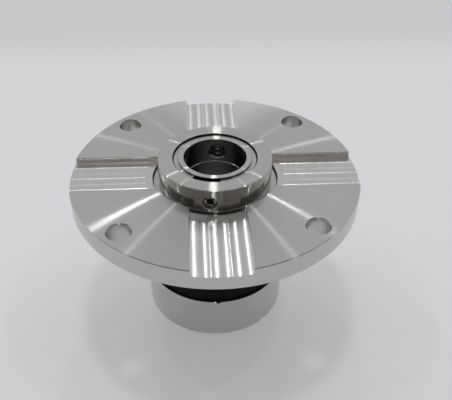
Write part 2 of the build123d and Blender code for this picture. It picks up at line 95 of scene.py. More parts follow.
def draw(name, corners):
    """Closed outline of (x, y, z) corners: one point is drawn out leg by leg, back to where it began."""
    bpy.ops.object.select_all(action="DESELECT")
    bpy.ops.mesh.primitive_plane_add(size=MM)
    piece = bpy.context.object
    piece.name = name
    bpy.ops.object.mode_set(mode="EDIT")
    bpy.ops.mesh.merge(type="CENTER")
    bpy.ops.transform.translate(value=Vector(corners[0]) * MM)
    here = Vector(corners[0])
    for corner in corners[1:] + corners[:1]:
        leg = (Vector(corner) - here) * MM
        bpy.ops.mesh.extrude_region_move(TRANSFORM_OT_translate={"value": leg})
        here = Vector(corner)
    bpy.ops.mesh.select_all(action="SELECT")
    bpy.ops.mesh.remove_doubles(threshold=WELD * MM)
    return piece


def close_mesh():
    """Welds a finished shell, turns its faces outwards and leaves edit mode."""
    bpy.ops.mesh.select_all(action="SELECT")
    bpy.ops.mesh.remove_doubles(threshold=WELD * MM)
    bpy.ops.mesh.normals_make_consistent(inside=False)
    bpy.ops.object.mode_set(mode="OBJECT")


def close_ends():
    """Fills the two open ends of a swept section, and closes its mesh."""
    bpy.ops.mesh.select_all(action="SELECT")
    bpy.ops.mesh.fill_holes(sides=0)
    close_mesh()


def turn(name, outline, steps=TURNED_STEPS):
    """Turned solid from a closed outline of (radius, z)."""
    piece = draw(name, [(r, 0, z) for r, z in outline])
    bpy.ops.mesh.spin(steps=steps, angle=FULL_TURN, center=(0, 0, 0), axis=(0, 0, 1))
    close_mesh()
    return piece


def groove(surface_r, floor_r, start, end):
    """Four corners of an outline: a groove in a surface, from its start to its end along the shaft."""
    return [(surface_r, start), (floor_r, start), (floor_r, end), (surface_r, end)]


def prism(name, corners, way):
    """Solid of one section: a flat outline, filled and pushed along a vector."""
    piece = draw(name, corners)
    bpy.ops.mesh.edge_face_add()
    bpy.ops.mesh.extrude_region_move(TRANSFORM_OT_translate={"value": Vector(way) * MM})
    close_mesh()
    return piece


def coil(name, section, pitch, turns, steps):
    """Solid of one section, wound up along Z with so many steps in each turn."""
    piece = draw(name, section)
    bpy.ops.object.mode_set(mode="OBJECT")
    apply(piece, "SCREW", screw_offset=pitch * MM, iterations=turns, steps=steps, render_steps=steps)
    bpy.ops.object.mode_set(mode="EDIT")
    close_ends()
    return piece


def settle(piece):
    """Puts a piece's place and turn into its mesh."""
    pick(piece)
    bpy.ops.object.transform_apply(location=True, rotation=True, scale=True)
    return piece


def placed(piece, azimuth):
    """A copy of a piece with its own mesh, turned about the shaft axis by an azimuth in degrees."""
    pick(piece)
    bpy.ops.object.duplicate(linked=False)
    twin = bpy.context.object
    twin.matrix_world = Matrix.Rotation(math.radians(azimuth), 4, "Z")
    return settle(twin)


def join(pieces):
    """One piece of several."""
    pick(pieces[0])
    for piece in pieces[1:]:
        piece.select_set(True)
    bpy.ops.object.join()
    return bpy.context.object


def round_axis(piece, azimuths):
    """One piece repeated about the shaft axis."""
    twins = [placed(piece, azimuth) for azimuth in azimuths]
    bpy.data.objects.remove(piece, do_unlink=True)
    return join(twins)


def apply(piece, kind, **settings):
    """Adds one modifier and applies it."""
    pick(piece)
    modifier = piece.modifiers.new(kind.lower(), kind)
    for key, value in settings.items():
        setattr(modifier, key, value)
    bpy.ops.object.modifier_apply(modifier=modifier.name)


def cut(piece, cutter):
    """Takes a cutter's shape out of a piece."""
    apply(piece, "BOOLEAN", object=cutter, operation="DIFFERENCE", solver="EXACT")
    bpy.data.objects.remove(cutter, do_unlink=True)


def finish(piece, body, slot, nodes, *materials):
    """Shades a piece, gives it its materials and hands it to its body."""
    pick(piece)
    bpy.ops.object.mode_set(mode="EDIT")
    bpy.ops.mesh.select_all(action="SELECT")
    bpy.ops.mesh.dissolve_degenerate(threshold=SLIVER * MM)
    bpy.ops.object.mode_set(mode="OBJECT")
    bpy.ops.object.shade_smooth_by_angle(angle=SMOOTH_LIMIT)
    piece.data.materials.clear()
    for material in materials:
        piece.data.materials.append(material)
    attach(piece, body)
    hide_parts(*nodes)


def paint_faces(piece, material, chosen):
    """Gives one of a piece's materials to the faces that a rule picks by their centre, in mm, and normal."""
    index = piece.data.materials.find(material.name)
    for face in piece.data.polygons:
        if chosen(face.center / MM, face.normal):
            face.material_index = index


# ---------------------------------------------------------------------------------------------------
# Finishes
# ---------------------------------------------------------------------------------------------------

RING_GRAIN = 900            # how fine the lathe's rings are
SMEAR_GRAIN = 45            # and the broad smears over turned metal
MILL_GRAIN = 160            # and over milled metal
RING_SWING = 0.08           # share by which the rings change how rough the metal is
MARK_SWING = 0.2            # and by which all other marks do
ACROSS = 0.25               # a quarter turn, which draws a highlight out across the marks

# Pairs of flanks on the lathe's marks: how far each leans, how rough it is and its share of the face.
WIDE_FLANKS = ((0.3, 0.14, 0.24), (0.55, 0.18, 0.1))
FINE_FLANKS = ((0.27, 0.12, 0.3), (0.44, 0.15, 0.2))
SLEEVE_FLANKS = ((0.27, 0.13, 0.3), (0.44, 0.15, 0.2))


def feed(target, sources):
    """Sets a shader node's inputs, each to a plain value or to what another node gives."""
    for key, source in sources.items():
        if isinstance(source, bpy.types.NodeSocket):
            target.id_data.links.new(source, target.inputs[key])
        else:
            target.inputs[key].default_value = source


def add_node(tree, kind, sources=None, **settings):
    """A new shader node with its settings and its inputs."""
    made = tree.nodes.new(kind)
    for key, value in settings.items():
        setattr(made, key, value)
    feed(made, sources or {})
    return made


def new_material(name):
    """An empty material, its node tree and its shader."""
    material = bpy.data.materials.new(name)
    material.use_nodes = True
    tree = material.node_tree
    return material, tree, tree.nodes["Principled BSDF"]


def own_place(tree):
    """Where a point lies on its piece."""
    return add_node(tree, "ShaderNodeTexCoord").outputs["Object"]


def split(tree, vector):
    """The X, Y and Z of a vector."""
    return add_node(tree, "ShaderNodeSeparateXYZ", {"Vector": vector}).outputs


def calc(tree, operation, *values):
    """One step of arithmetic on numbers."""
    return add_node(tree, "ShaderNodeMath", dict(enumerate(values)), operation=operation).outputs["Value"]


def vector_calc(tree, operation, *values, result="Vector", **named):
    """One step of arithmetic on vectors, from its values in their order and any that go by a name."""
    sources = {**dict(enumerate(values)), **named}
    return add_node(tree, "ShaderNodeVectorMath", sources, operation=operation).outputs[result]


def noise(tree, place, scale, detail=3):
    """Cloudy noise from 0 to 1, finer with a larger scale."""
    made = add_node(tree, "ShaderNodeTexNoise", {"Scale": scale, "Detail": detail, "Vector": place})
    return made.outputs["Fac"]


def varied(tree, source, middle, swing):
    """Numbers round a middle one, a share of it down and up, as the source goes from 0 to 1."""
    low, high = middle * (1 - swing), middle * (1 + swing)
    made = add_node(tree, "ShaderNodeMapRange", {"Value": source, "To Min": low, "To Max": high})
    return made.outputs["Result"]


def fade(tree, source, start, end, low=0.0, high=1.0):
    """Numbers that go smoothly from low to high as the source goes from start to end."""
    sources = {"Value": source, "From Min": start, "From Max": end, "To Min": low, "To Max": high}
    return add_node(tree, "ShaderNodeMapRange", sources, interpolation_type="SMOOTHSTEP").outputs["Result"]


def tint(tree, source, low, high, spread=0.5):
    """Colours that go from low to high as the source goes from a spread under 0.5 to one over it."""
    made = add_node(tree, "ShaderNodeValToRGB", {"Fac": source})
    for element, place, colour in zip(made.color_ramp.elements, (0.5 - spread, 0.5 + spread), (low, high)):
        element.position = place
        element.color = (*colour, 1)
    return made.outputs["Color"]


def ring_place(tree, place):
    """A point as (radius, z, 0), in which a lathe's marks are straight lines."""
    parts = split(tree, place)
    flat = add_node(tree, "ShaderNodeCombineXYZ", {"X": parts["X"], "Y": parts["Y"]}).outputs["Vector"]
    radius = vector_calc(tree, "LENGTH", flat, result="Value")
    return add_node(tree, "ShaderNodeCombineXYZ", {"X": radius, "Y": parts["Z"]}).outputs["Vector"]


def room_way(tree, source):
    """A direction on the piece as a direction in the room."""
    made = add_node(tree, "ShaderNodeVectorTransform", {"Vector": source},
                    vector_type="VECTOR", convert_from="OBJECT", convert_to="WORLD")
    return made.outputs["Vector"]


def bumps(tree, height, depth):
    """A bumpy normal, with a depth in mm."""
    sources = {"Strength": 1.0, "Distance": depth * MM, "Height": height}
    return add_node(tree, "ShaderNodeBump", sources).outputs["Normal"]


def leaning(tree, around, lean):
    """The surface's normal leant across the lathe's marks, as on one flank of them."""
    upright = add_node(tree, "ShaderNodeNewGeometry").outputs["Normal"]
    across = vector_calc(tree, "NORMALIZE", vector_calc(tree, "CROSS_PRODUCT", upright, around))
    leant = vector_calc(tree, "ADD", upright, vector_calc(tree, "SCALE", across, Scale=lean))
    return vector_calc(tree, "NORMALIZE", leant)


def turned_metal(name, dark, light, polish, flanks):
    """Metal off the lathe. Its fine rings about the axis have a flat top and leaning flanks, which draw
    each highlight out across them."""
    material, tree, shader = new_material(name)
    place = own_place(tree)
    rings = noise(tree, ring_place(tree, place), RING_GRAIN)
    colour = tint(tree, noise(tree, place, SMEAR_GRAIN), dark, light)
    around = room_way(tree, vector_calc(tree, "CROSS_PRODUCT", (0, 0, 1), place))
    sides = [(0, polish, 1 - sum(share for lean, gloss, share in flanks))]
    for lean, gloss, share in flanks:
        sides += [(lean, gloss, share / 2), (-lean, gloss, share / 2)]
    whole, covered = None, 0
    for lean, gloss, share in sides:
        side = add_node(tree, "ShaderNodeBsdfPrincipled") if lean else shader
        feed(side, {
            "Base Color": colour, "Metallic": 1.0, "Roughness": varied(tree, rings, gloss, RING_SWING),
            "Tangent": around, "Anisotropic": 1.0, "Anisotropic Rotation": ACROSS,
        })
        if lean:
            feed(side, {"Normal": leaning(tree, around, lean)})
        covered += share
        if whole is None:
            whole = side.outputs["BSDF"]
            continue
        sources = {"Fac": share / covered, 1: whole, 2: side.outputs["BSDF"]}
        whole = add_node(tree, "ShaderNodeMixShader", sources).outputs["Shader"]
    feed(tree.nodes["Material Output"], {"Surface": whole})
    return material


def plain_metal(name, dark, light, polish, grain=300, depth=0.0, spread=0.5):
    """Metal with no lie to its marks: drilled holes and screws, and copies with painted light or shade for
    slot walls, slot edges, gaps and tapped holes.
    """
    material, tree, shader = new_material(name)
    marks = noise(tree, own_place(tree), grain)
    feed(shader, {
        "Base Color": tint(tree, marks, dark, light, spread), "Metallic": 1.0,
        "Roughness": varied(tree, marks, polish, MARK_SWING),
    })
    if depth:
        feed(shader, {"Normal": bumps(tree, marks, depth)})
    return material


def milled_metal(name, dark, light, polish, sharpness):
    """Metal under an end mill: the marks lie across the slot, so each highlight is drawn out along it."""
    material, tree, shader = new_material(name)
    place = own_place(tree)
    parts = split(tree, place)
    on_x = calc(tree, "GREATER_THAN", calc(tree, "ABSOLUTE", parts["X"]), calc(tree, "ABSOLUTE", parts["Y"]))
    on_y = calc(tree, "SUBTRACT", 1, on_x)
    along = add_node(tree, "ShaderNodeCombineXYZ", {"X": on_x, "Y": on_y}).outputs["Vector"]
    smears = noise(tree, place, MILL_GRAIN)
    feed(shader, {
        "Base Color": tint(tree, smears, dark, light), "Metallic": 1.0,
        "Roughness": varied(tree, smears, polish, MARK_SWING),
        "Tangent": room_way(tree, along), "Anisotropic": sharpness,
    })
    return material


def dull_stuff(name, dark, light, polish, grain, depth, shine=0.5):
    """Rubber, carbon and other stuff that isn't metal, with a fine grain."""
    material, tree, shader = new_material(name)
    specks = noise(tree, own_place(tree), grain, 4)
    feed(shader, {
        "Base Color": tint(tree, specks, dark, light), "Specular IOR Level": shine,
        "Roughness": varied(tree, specks, polish, MARK_SWING), "Normal": bumps(tree, specks, depth),
    })
    return material


# Each line gives a name, the darkest and the lightest colour, and how rough the metal or stuff is. Turned
# metal adds its flanks. Dull stuff adds how fine its grain is, how deep in mm, and how much it shines.
turned_steel = turned_metal("turned_steel", (0.58, 0.575, 0.56), (0.64, 0.635, 0.62), 0.135, WIDE_FLANKS)
collar_steel = turned_metal("polished_steel", (0.54, 0.53, 0.505), (0.66, 0.65, 0.625), 0.09, FINE_FLANKS)
sleeve_steel = turned_metal("sleeve_steel", (0.55, 0.545, 0.53), (0.63, 0.625, 0.61), 0.1, SLEEVE_FLANKS)
# Painted shade: a darker copy of the sleeve's steel for the inside of the bore.
shaded_bore_steel = turned_metal("shaded_bore_steel", (0.46, 0.455, 0.44), (0.58, 0.57, 0.555), 0.1, ((0.2, 0.15, 0.3),))
# Shinier turned steel for the collar's side; its colour, a little darker than the collar's top, is painted
# shade.
shaded_side_steel = turned_metal("shaded_collar_side", (0.5, 0.49, 0.465), (0.66, 0.65, 0.625), 0.06, ((0.14, 0.08, 0.25),))
shell_steel = turned_metal("shell_steel", (0.56, 0.55, 0.53), (0.64, 0.63, 0.61), 0.12, ((0.12, 0.12, 0.35),))
milled_steel = milled_metal("milled_steel", (0.64, 0.635, 0.625), (0.74, 0.735, 0.725), 0.22, 0.9)
# Painted light: the slot walls are brighter than the plate's own steel.
lit_wall_steel = plain_metal("lit_wall_steel", (0.8, 0.77, 0.74), (0.95, 0.93, 0.91), 0.35)
# Painted highlight: near-white steel for the chamfers along the slots.
highlight_edge_steel = plain_metal("highlight_edge_steel", (0.85, 0.84, 0.82), (0.95, 0.94, 0.92), 0.2)
drilled_steel = plain_metal("drilled_steel", (0.5, 0.495, 0.48), (0.62, 0.615, 0.6), 0.25)
# Painted glints and shade: near-black and near-white specks in the colour, over real burr bumps, for tapped
# holes and screw ends.
burrs_and_glints_steel = plain_metal("burrs_and_glints_steel", (0.02, 0.02, 0.018), (1, 0.99, 0.97), 0.45,
                           grain=1300, depth=0.3, spread=0.05)
screw_steel = plain_metal("screw_steel", (0.2, 0.195, 0.185), (0.4, 0.39, 0.37), 0.2, grain=900)
# Painted shade: near-black steel for the collar's recess, the ring groove and the sleeve's screw holes, where
# shade falls.
gap_shade_steel = plain_metal("gap_shade_steel", (0.03, 0.029, 0.027), (0.08, 0.078, 0.072), 0.3, grain=500)
spring_wire = plain_metal("spring_wire", (0.45, 0.44, 0.42), (0.6, 0.59, 0.57), 0.22)
bronze = turned_metal("bronze", (0.5, 0.3, 0.14), (0.62, 0.4, 0.2), 0.25, ((0.2, 0.2, 0.3),))
carbon = dull_stuff("carbon", (0.003, 0.003, 0.003), (0.008, 0.008, 0.008), 0.45, 900, 0.002, 0.08)
silicon_carbide = dull_stuff("silicon_carbide", (0.03, 0.031, 0.033), (0.06, 0.061, 0.064), 0.25, 700, 0.001)
black_rubber = dull_stuff("black_rubber", (0.008, 0.008, 0.008), (0.016, 0.016, 0.016), 0.5, 500, 0.004, 0.3)
white_ptfe = dull_stuff("white_ptfe", (0.72, 0.71, 0.68), (0.82, 0.81, 0.79), 0.4, 300, 0.003, 0.4)


# ---------------------------------------------------------------------------------------------------
# Gland plate: flange with four milled slots and bolt holes, and the spigot under it
# ---------------------------------------------------------------------------------------------------

EDGE = 0.4                  # broken edges of the flange, the collar and the foot
SLIP = 0.02                 # gap between two pieces that fit into each other
OVER = 2.0                  # a cutter runs this far past the stock

FLANGE_R = 82.5
FLANGE_TOP = 12.0
BORE_R = 36.0
BOLT_CIRCLE_R = 72.5
BOLT_HOLE_R = 6.5
SPIGOT_R = 45.0
SPIGOT_END = -38.0
SPIGOT_EDGE = 1.0
CORD_GROOVE = (42.48, -5.2, -8.8)       # floor radius, upper and lower wall
SEAT_R = 37.0               # the spigot's bore, in which the seat lies
WEB_R = 30.0                # hole in the web between the flange's bore and the seat
WEB_TOP = -10.0
WEB_BOTTOM = -18.0

SLOT_HALF = 15.5
SLOT_FLOOR = 8.5
SLOT_EDGE = 0.25
SCALLOP_RISES = (0.14, 0.165, 0.13, 0.16, 0.15, 0.175)      # one for each pass of the mill
SCALLOP_POINTS = 10
LAND_R = 40.0
LAND_Z = 8.35
LAND_STEPS = 24
CUT_START = 30.0            # a slot's cutter begins inside the bore

FLAT = 0.9                  # a face lies flat when more of its normal than this goes along the shaft
UPRIGHT = 0.3               # and stands upright when less than this does
NEAR = 1.0                  # a face belongs to a cut when its centre lies this near the cut's wall
HAIR = 0.1                  # tells a face from its neighbours


def scallop(start, width, rise):
    """Points of one cutter pass, a shallow arc that leaves a low ridge at each side."""
    shares = [k / SCALLOP_POINTS for k in range(SCALLOP_POINTS)]
    return [(start + width * s, SLOT_FLOOR + rise * (2 * s - 1) ** 2) for s in shares]


def slot_cutter():
    """The passes of one slot, with walls that break the flange's edges, along +X."""
    width = 2 * SLOT_HALF / len(SCALLOP_RISES)
    bed = []
    for i, rise in enumerate(SCALLOP_RISES):
        bed += scallop(-SLOT_HALF + width * i, width, rise)
    bed.append((SLOT_HALF, SLOT_FLOOR + SCALLOP_RISES[-1]))
    shoulder, top = FLANGE_TOP - SLOT_EDGE, FLANGE_TOP + OVER
    wide = SLOT_HALF + SLOT_EDGE + OVER
    walls = [(SLOT_HALF, shoulder), (wide, top), (-wide, top), (-SLOT_HALF, shoulder)]
    corners = [(CUT_START, y, z) for y, z in bed + walls]
    return prism("slot_cutter", corners, (FLANGE_R + OVER - CUT_START, 0, 0))


def land_cutter():
    """The turned land where one slot meets the bore."""
    reach = math.asin(SLOT_HALF / LAND_R)
    angles = [reach * (2 * k / LAND_STEPS - 1) for k in range(LAND_STEPS + 1)]
    arc = [(LAND_R * math.cos(a), LAND_R * math.sin(a)) for a in angles]
    plan = [(CUT_START, -SLOT_HALF)] + arc + [(CUT_START, SLOT_HALF)]
    return prism("land_cutter", [(x, y, LAND_Z) for x, y in plan], (0, 0, FLANGE_TOP - LAND_Z - SLOT_EDGE))


def bolt_hole_cutter():
    """Drill with a countersink at the outer face, placed on the bolt circle."""
    drill = turn("drill", [
        (0, -OVER), (BOLT_HOLE_R, -OVER), (BOLT_HOLE_R, FLANGE_TOP - EDGE),
        (BOLT_HOLE_R + EDGE + OVER, FLANGE_TOP + OVER), (0, FLANGE_TOP + OVER),
    ], BOLT_STEPS)
    drill.location = (BOLT_CIRCLE_R * MM, 0, 0)
    return settle(drill)


def off_slot_wall(c):
    """How far a point lies from the line of the nearest slot wall, under zero inside the slot."""
    return min(abs(c.x), abs(c.y)) - SLOT_HALF


def off_bolt_hole(c):
    """How far a point lies from the wall of the nearest bolt hole, under zero inside the hole."""
    offset = BOLT_CIRCLE_R / math.sqrt(2)
    return math.hypot(abs(c.x) - offset, abs(c.y) - offset) - BOLT_HOLE_R


def gland_plate():
    """Flange, web and spigot in one piece, with the slots, their lands and the bolt holes."""
    piece = turn("gland_plate", [
        (WEB_R, WEB_BOTTOM), (WEB_R, WEB_TOP), (BORE_R, WEB_TOP), (BORE_R, FLANGE_TOP - EDGE),
        (BORE_R + EDGE, FLANGE_TOP), (FLANGE_R - EDGE, FLANGE_TOP), (FLANGE_R, FLANGE_TOP - EDGE),
        (FLANGE_R, EDGE), (FLANGE_R - EDGE, 0), (SPIGOT_R, 0), *groove(SPIGOT_R, *CORD_GROOVE),
        (SPIGOT_R, SPIGOT_END + SPIGOT_EDGE), (SPIGOT_R - SPIGOT_EDGE, SPIGOT_END),
        (SEAT_R + SPIGOT_EDGE, SPIGOT_END), (SEAT_R, SPIGOT_END + SPIGOT_EDGE), (SEAT_R, WEB_BOTTOM),
    ], FLANGE_STEPS)
    cut(piece, round_axis(slot_cutter(), QUARTERS))
    cut(piece, round_axis(land_cutter(), QUARTERS))
    cut(piece, round_axis(bolt_hole_cutter(), [45 + q for q in QUARTERS]))
    finish(piece, "gland", "turned_steel", ["gland_plate"], turned_steel, milled_steel, lit_wall_steel,
           drilled_steel, highlight_edge_steel)
    paint_faces(piece, milled_steel, lambda c, n: abs(n.z) > FLAT
                and LAND_Z - HAIR < c.z < FLANGE_TOP - HAIR and off_slot_wall(c) < 0)
    # Painted light: the slot walls take the brighter steel.
    paint_faces(piece, lit_wall_steel, lambda c, n: abs(n.z) < FLAT
                and c.z > LAND_Z and c.xy.length < FLANGE_R - EDGE and abs(off_slot_wall(c)) < NEAR)
    # Painted highlight on the chamfers at the slots' edges.
    paint_faces(piece, highlight_edge_steel, lambda c, n: UPRIGHT < abs(n.z) < FLAT
                and c.z > FLANGE_TOP - SLOT_EDGE and abs(off_slot_wall(c)) < NEAR)
    paint_faces(piece, drilled_steel, lambda c, n: abs(n.z) < FLAT
                and c.z > 0 and abs(off_bolt_hole(c)) < NEAR)


# ---------------------------------------------------------------------------------------------------
# Bush carrier, drive collar, sleeve and the parts they hold
# ---------------------------------------------------------------------------------------------------

CARRIER_TOP = 6.2
CARRIER_EDGE = 0.25
CARRIER_HEAD_R = 35.6
CARRIER_LIP_R = 24.0        # the ring under the bush
CARRIER_LIP_TOP = -7.0
BUSH_R = 27.5

COLLAR_R = 32.25
COLLAR_BOTTOM = 6.8
RECESS_R = 24.05            # the collar's recess, round the retaining ring
RECESS_FLOOR = 18.95

SHAFT_R = 17.5
MOUTH_R = 17.8              # the bore's wider mouth, and where it begins
MOUTH_START = 6.65
SLEEVE_R = 20.75            # the sleeve in the collar
SLEEVE_TOP = 21.8
SLEEVE_EDGE = 0.1
SLEEVE_BODY_R = 22.0
RING_GROOVE = (19.88, RECESS_FLOOR, 20.73)      # floor radius, lower and upper wall
SHAFT_GROOVE = (19.54, -75.8, -78.4)            # floor radius, upper and lower wall
FOOT_R = 29.0
FOOT_TOP = -73.7
HOLDER_BOTTOM = -80.7

SCREW_AZIMUTHS = [-97.3 + q for q in QUARTERS]
SCREW_Z = 13.25
DRILL_START = 10.0          # a radial drill begins inside the bore
TAP_R = 4.02
TAP_EDGE = 0.5
SCREW_HOLE_R = 4.3
SCREW_HOLE_EDGE = 0.6

BURR_GLINTS_REACH = 4.6           # a tapped hole's burrs and painted glints go this far from its middle
BURR_GLINTS_END = 32.2            # and this far out from the shaft axis
SIDE_START = 32.1           # the collar's side takes in what lies further out than this
LEVEL = 0.99                # facets at the very top and bottom of a hole have more of their normal along Z
OUTWARD = 0.6               # and a hole's other facets look less than this out from the shaft


def bush_carrier():
    """Ring pressed into the flange's bore, with a lip under the throttle bush."""
    bore = BUSH_R + SLIP
    piece = turn("bush_carrier", [
        (CARRIER_LIP_R, WEB_TOP), (BORE_R - SLIP, WEB_TOP), (BORE_R - SLIP, 0), (CARRIER_HEAD_R, 0),
        (CARRIER_HEAD_R, CARRIER_TOP - CARRIER_EDGE), (CARRIER_HEAD_R - CARRIER_EDGE, CARRIER_TOP),
        (bore + CARRIER_EDGE, CARRIER_TOP), (bore, CARRIER_TOP - CARRIER_EDGE), (bore, CARRIER_LIP_TOP),
        (CARRIER_LIP_R, CARRIER_LIP_TOP),
    ])
    finish(piece, "gland", "turned_steel", ["bush_carrier"], turned_steel)


def radial_drill(name, outline):
    """A drill along +X at the set screws' height, from an outline of (radius, reach along the drill)."""
    drill = turn(name, outline, DRILL_STEPS)
    drill.rotation_euler = (0, math.pi / 2, 0)
    drill.location = (0, 0, SCREW_Z * MM)
    return settle(drill)


def drive_collar():
    """Collar round the sleeve, with four tapped holes and a recess for the retaining ring."""
    bore = SLEEVE_R + SLIP
    piece = turn("drive_collar", [
        (bore, COLLAR_BOTTOM), (COLLAR_R - EDGE, COLLAR_BOTTOM), (COLLAR_R, COLLAR_BOTTOM + EDGE),
        (COLLAR_R, SLEEVE_TOP - EDGE), (COLLAR_R - EDGE, SLEEVE_TOP), (RECESS_R + SLEEVE_EDGE, SLEEVE_TOP),
        (RECESS_R, SLEEVE_TOP - SLEEVE_EDGE), (RECESS_R, RECESS_FLOOR), (bore, RECESS_FLOOR),
    ])
    drill = radial_drill("tap_drill", [
        (0, DRILL_START), (TAP_R, DRILL_START), (TAP_R, COLLAR_R - TAP_EDGE),
        (TAP_R + TAP_EDGE + OVER, COLLAR_R + OVER), (0, COLLAR_R + OVER),
    ])
    cut(piece, round_axis(drill, SCREW_AZIMUTHS))
    finish(piece, "rotor", "polished_steel", ["drive_collar"], collar_steel, burrs_and_glints_steel, gap_shade_steel,
           shaded_side_steel)
    # Painted glints and shade in the mouths of the tapped holes.
    paint_faces(piece, burrs_and_glints_steel, lambda c, n: bore + HAIR < c.xy.length < BURR_GLINTS_END
                and abs(c.z - SCREW_Z) < BURR_GLINTS_REACH and abs(n.z) < LEVEL
                and abs(n.xy.normalized().dot(c.xy.normalized())) < OUTWARD)
    # Painted shade: the recess round the retaining ring is near black.
    paint_faces(piece, gap_shade_steel, lambda c, n: c.xy.length < RECESS_R + HAIR
                and RECESS_FLOOR - HAIR < c.z < SLEEVE_TOP - SLEEVE_EDGE)
    # Painted shade: the collar's side takes the darker copy of its steel.
    paint_faces(piece, shaded_side_steel, lambda c, n: c.xy.length > SIDE_START and abs(n.z) < UPRIGHT)


def shaft_sleeve():
    """Sleeve on the shaft, from its foot to its top, with its grooves, its wider mouth and screw holes."""
    ledge = MOUTH_R - SHAFT_R
    piece = turn("shaft_sleeve", [
        (SHAFT_R, HOLDER_BOTTOM), (FOOT_R - EDGE, HOLDER_BOTTOM), (FOOT_R, HOLDER_BOTTOM + EDGE),
        (FOOT_R, FOOT_TOP), (SLEEVE_BODY_R, FOOT_TOP), (SLEEVE_BODY_R, COLLAR_BOTTOM),
        (SLEEVE_R, COLLAR_BOTTOM), *groove(SLEEVE_R, *RING_GROOVE), (SLEEVE_R, SLEEVE_TOP - SLEEVE_EDGE),
        (SLEEVE_R - SLEEVE_EDGE, SLEEVE_TOP), (MOUTH_R + SLEEVE_EDGE, SLEEVE_TOP),
        (MOUTH_R, SLEEVE_TOP - SLEEVE_EDGE), (MOUTH_R, MOUTH_START), (SHAFT_R, MOUTH_START - ledge),
        *groove(SHAFT_R, *SHAFT_GROOVE),
    ])
    hole_start, hole_end = MOUTH_R + SCREW_HOLE_EDGE, SLEEVE_BODY_R + OVER
    drill = radial_drill("sleeve_drill", [
        (0, DRILL_START), (SCREW_HOLE_R + hole_start - DRILL_START, DRILL_START), (SCREW_HOLE_R, hole_start),
        (SCREW_HOLE_R, hole_end), (0, hole_end),
    ])
    cut(piece, round_axis(drill, SCREW_AZIMUTHS))
    finish(piece, "rotor", "polished_steel", ["shaft_sleeve"], sleeve_steel, gap_shade_steel, drilled_steel,
           shaded_bore_steel)
    # Painted shade: the sleeve's bore takes the darker steel.
    paint_faces(piece, shaded_bore_steel, lambda c, n: abs(n.z) < UPRIGHT
                and c.xy.length < MOUTH_R + SLIP and c.z < SLEEVE_TOP - SLEEVE_EDGE)
    # Painted shade: the ring groove and the screw holes under the collar are near black.
    paint_faces(piece, gap_shade_steel, lambda c, n: RING_GROOVE[0] - HAIR < c.xy.length < SLEEVE_R + HAIR
                and RECESS_FLOOR - HAIR < c.z < SLEEVE_TOP - SLEEVE_EDGE)
    paint_faces(piece, gap_shade_steel, lambda c, n: hole_start < c.xy.length < SLEEVE_BODY_R - HAIR
                and abs(c.z - SCREW_Z) < SCREW_HOLE_R + HAIR)
    paint_faces(piece, drilled_steel, lambda c, n: MOUTH_R + SLIP < c.xy.length < hole_start
                and abs(c.z - SCREW_Z) < SCREW_HOLE_R + SCREW_HOLE_EDGE + HAIR)


def set_screws():
    """Four hexagon socket screws: a core, a thread round it, and the socket in its outer end."""
    tip, end, core_r, edge = 18.25, 30.25, 3.6, 0.35
    cup_r, cup_depth, rim_r = 2.0, 1.0, 3.3
    socket_r, socket_depth = 2.31, 5.0
    pitch, ridge, turns = 1.25, 1.225, 8
    thread_start, root_r, crest_r = 18.8, 3.5, 3.98
    core = turn("set_screw", [
        (0, tip + cup_depth), (cup_r, tip), (rim_r, tip), (core_r, tip + edge), (core_r, end - edge),
        (core_r - edge, end), (0, end),
    ], PIN_STEPS)
    bpy.ops.mesh.primitive_cylinder_add(vertices=6, radius=socket_r * MM, depth=2 * socket_depth * MM,
                                        location=(0, 0, end * MM))
    cut(core, settle(bpy.context.object))
    section = [(root_r, 0, thread_start), (crest_r, 0, thread_start + pitch / 2),
               (root_r, 0, thread_start + ridge)]
    screw = join([core, coil("thread", section, pitch, turns, THREAD_STEPS)])
    screw.rotation_euler = (0, math.pi / 2, 0)
    screw.location = (0, 0, SCREW_Z * MM)
    settle(screw)
    # Painted glints and shade on each screw's outer end.
    burr_glints_start = end - 0.25
    for i, azimuth in enumerate(SCREW_AZIMUTHS):
        twin = placed(screw, azimuth)
        twin.name = f"set_screw_{i + 1}"
        finish(twin, "rotor", "screw_steel", ["set_screws"], screw_steel, burrs_and_glints_steel)
        paint_faces(twin, burrs_and_glints_steel, lambda c, n: c.xy.length > burr_glints_start)
    bpy.data.objects.remove(screw, do_unlink=True)


def retaining_ring():
    """Flat ring with an opening, in the sleeve's groove."""
    opening, middle = 41.0, -105.0          # degrees
    inner, outer, low, high, edge = 19.9, 23.45, RECESS_FLOOR, 20.7, 0.15
    section = [
        (inner + edge, low), (outer - edge, low), (outer, low + edge), (outer, high - edge),
        (outer - edge, high), (inner + edge, high), (inner, high - edge), (inner, low + edge),
    ]
    piece = draw("retaining_ring", [(r, 0, z) for r, z in section])
    bpy.ops.mesh.spin(steps=TURNED_STEPS, angle=math.radians(360 - opening), center=(0, 0, 0), axis=(0, 0, 1))
    close_ends()
    piece.rotation_euler = (0, 0, math.radians(middle - opening / 2))
    settle(piece)
    finish(piece, "rotor", "spring_wire", ["retaining_ring"], collar_steel)


# ---------------------------------------------------------------------------------------------------
# Spring holder, face ring and springs
# ---------------------------------------------------------------------------------------------------

DRIVE_AZIMUTHS = [-90 + 120 * i for i in range(3)]
SPRING_AZIMUTHS = [a + 30 * k for a in DRIVE_AZIMUTHS for k in (1, 2, 3)]
DRIVE_CIRCLE_R = 34.0

HOLDER_R = 42.0
HOLDER_BORE_R = 41.0
HOLDER_FLOOR = -68.7
HOLDER_TOP = -52.7
HOLDER_LIP_EDGE = 0.15
POCKET_R = 3.2
POCKET_BOTTOM = -77.2
PIN_HOLE_R = 2.02
PIN_BOTTOM = -76.7
NOTCH_HALF = 1.2
NOTCH_DEPTH = 1.0

